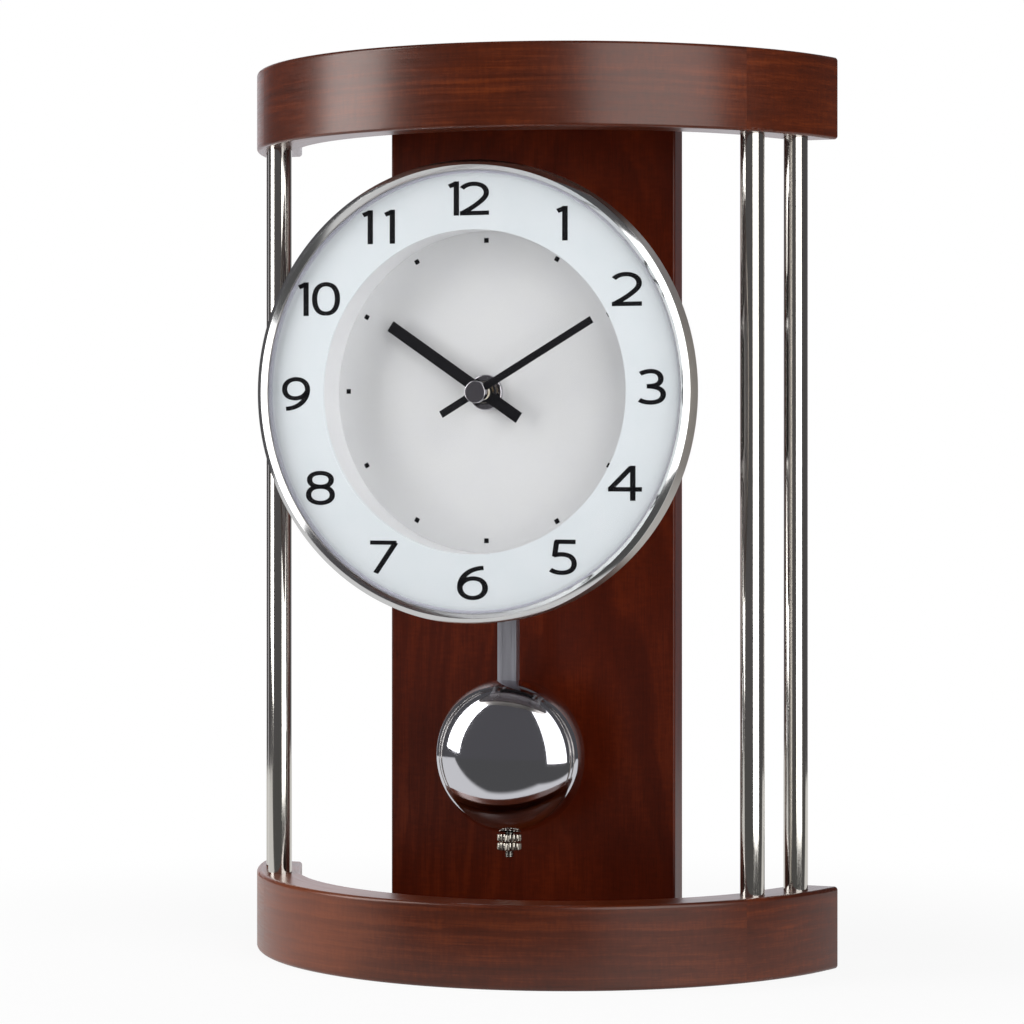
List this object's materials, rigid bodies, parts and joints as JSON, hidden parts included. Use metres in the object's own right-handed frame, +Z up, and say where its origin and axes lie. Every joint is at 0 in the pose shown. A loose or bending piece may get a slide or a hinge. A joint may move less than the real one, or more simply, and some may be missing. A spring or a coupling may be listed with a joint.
{
  "type": "desk pendulum clock",
  "caption": "Desk clock with bowed wooden rails joined by steel tubes, a round deep-well dial on posts before a flat wooden panel, and a swinging pendulum with a domed bob.",
  "frame": {"origin": "on the table, under the middle of the clock's box", "axes": "+Z up, -Y out of the dial towards the viewer, +X to the viewer's right"},
  "size_m": [0.2076, 0.0842, 0.3],
  "materials": {
    "rail_wood": "stained, satin lacquer",
    "panel_wood": "stained, satin lacquer",
    "board_wood": "stained, satin lacquer",
    "polished_steel": "polished",
    "screw_steel": "bright zinc",
    "post_aluminium": "turned",
    "dial_moulding": "moulded, satin",
    "dial_print": "matt white print",
    "window_glass": "clear",
    "bezel_aluminium": "polished band, satin wall",
    "nickel_plate": "nickel plated",
    "hand_black": "matt black",
    "movement_plastic": "moulded, fine spark texture",
    "gear_plastic": "moulded acetal",
    "arbor_brass": "turned",
    "knob_plastic": "moulded",
    "cell_jacket": "plain printed jacket",
    "contact_steel": "nickel plated strip",
    "arm_plastic": "moulded",
    "magnet_ferrite": "ground",
    "rod_aluminium": "brushed lengthways",
    "bob_chrome": "polished",
    "bob_back_steel": "plain"
  },
  "bodies": {
    "case": {"top_bow": "rail_wood", "top_end_left": "rail_wood", "top_end_right": "rail_wood", "bottom_bow": "rail_wood", "bottom_end_left": "rail_wood", "bottom_end_right": "rail_wood", "back_panel": "panel_wood", "top_board": "board_wood", "base_board": "board_wood", "rod_left_front": "polished_steel", "rod_left_rear": "polished_steel", "rod_right_front": "polished_steel", "rod_right_rear": "polished_steel", "panel_screws": "screw_steel", "post_screws": "screw_steel", "hanger_pin": "screw_steel", "head_post_upper_left": "post_aluminium", "head_post_upper_right": "post_aluminium", "head_post_lower_left": "post_aluminium", "head_post_lower_right": "post_aluminium", "dial_pan": "dial_moulding", "dial_plate": "dial_print", "hour_ring": "dial_print", "dial_glass": "window_glass", "bezel": "bezel_aluminium", "ring_nut": "nickel_plate", "movement_case": "movement_plastic", "movement_cover": "movement_plastic", "quartz_module": "movement_plastic", "battery": "cell_jacket", "contact_negative": "contact_steel", "contact_positive": "contact_steel"},
    "minute_train": {"minute_arbor": "arbor_brass", "minute_collet": "nickel_plate", "minute_hand": "hand_black", "cap_nut": "nickel_plate"},
    "hour_train": {"hour_wheel": "gear_plastic", "hour_collet": "nickel_plate", "hour_hand": "hand_black"},
    "motion_gear": {"motion_wheel": "gear_plastic"},
    "setting_grip": {"setting_arbor": "gear_plastic", "setting_knob": "knob_plastic"},
    "pendulum": {"swing_arm": "arm_plastic", "drive_magnet": "magnet_ferrite", "pendulum_rod": "rod_aluminium", "rating_stud": "screw_steel"},
    "bob": {"bob_shell": "bob_chrome", "bob_back": "bob_back_steel"},
    "rating_nuts": {"rating_nut": "nickel_plate", "lock_nut": "nickel_plate"}
  },
  "joints": [
    {"name": "minute_turn", "type": "hinge", "parent": "case", "child": "minute_train", "pos_m": [0, 0, 0.1895], "axis": [0, 1, 0], "continuous": true},
    {"name": "hour_turn", "type": "hinge", "parent": "case", "child": "hour_train", "pos_m": [0, 0, 0.1895], "axis": [0, 1, 0], "continuous": true},
    {"name": "motion_turn", "type": "hinge", "parent": "case", "child": "motion_gear", "pos_m": [0.0084, 0, 0.1895], "axis": [0, 1, 0], "continuous": true},
    {"name": "setting_turn", "type": "hinge", "parent": "case", "child": "setting_grip", "pos_m": [0.0168, 0, 0.1895], "axis": [0, 1, 0], "continuous": true},
    {"name": "pendulum_swing", "type": "hinge", "parent": "case", "child": "pendulum", "pos_m": [0, 0.0096, 0.2175], "axis": [0, 1, 0], "range_deg": [-8, 8]},
    {"name": "bob_slide", "type": "slide", "parent": "pendulum", "child": "bob", "axis": [0, 0, 1], "range_m": [-0.002, 0.002]},
    {"name": "nut_turn", "type": "hinge", "parent": "bob", "child": "rating_nuts", "pos_m": [0, 0.00992, 0.0424], "axis": [0, 0, 1], "range_deg": [-1500, 1500]}
  ],
  "couplings": [
    {"joint": "hour_turn", "follows": "minute_turn", "ratio": 0.083333},
    {"joint": "motion_turn", "follows": "minute_turn", "ratio": -0.33333},
    {"joint": "setting_turn", "follows": "minute_turn", "ratio": 1},
    {"joint": "nut_turn", "follows": "bob_slide", "rad_per_m": 12566}
  ]
}
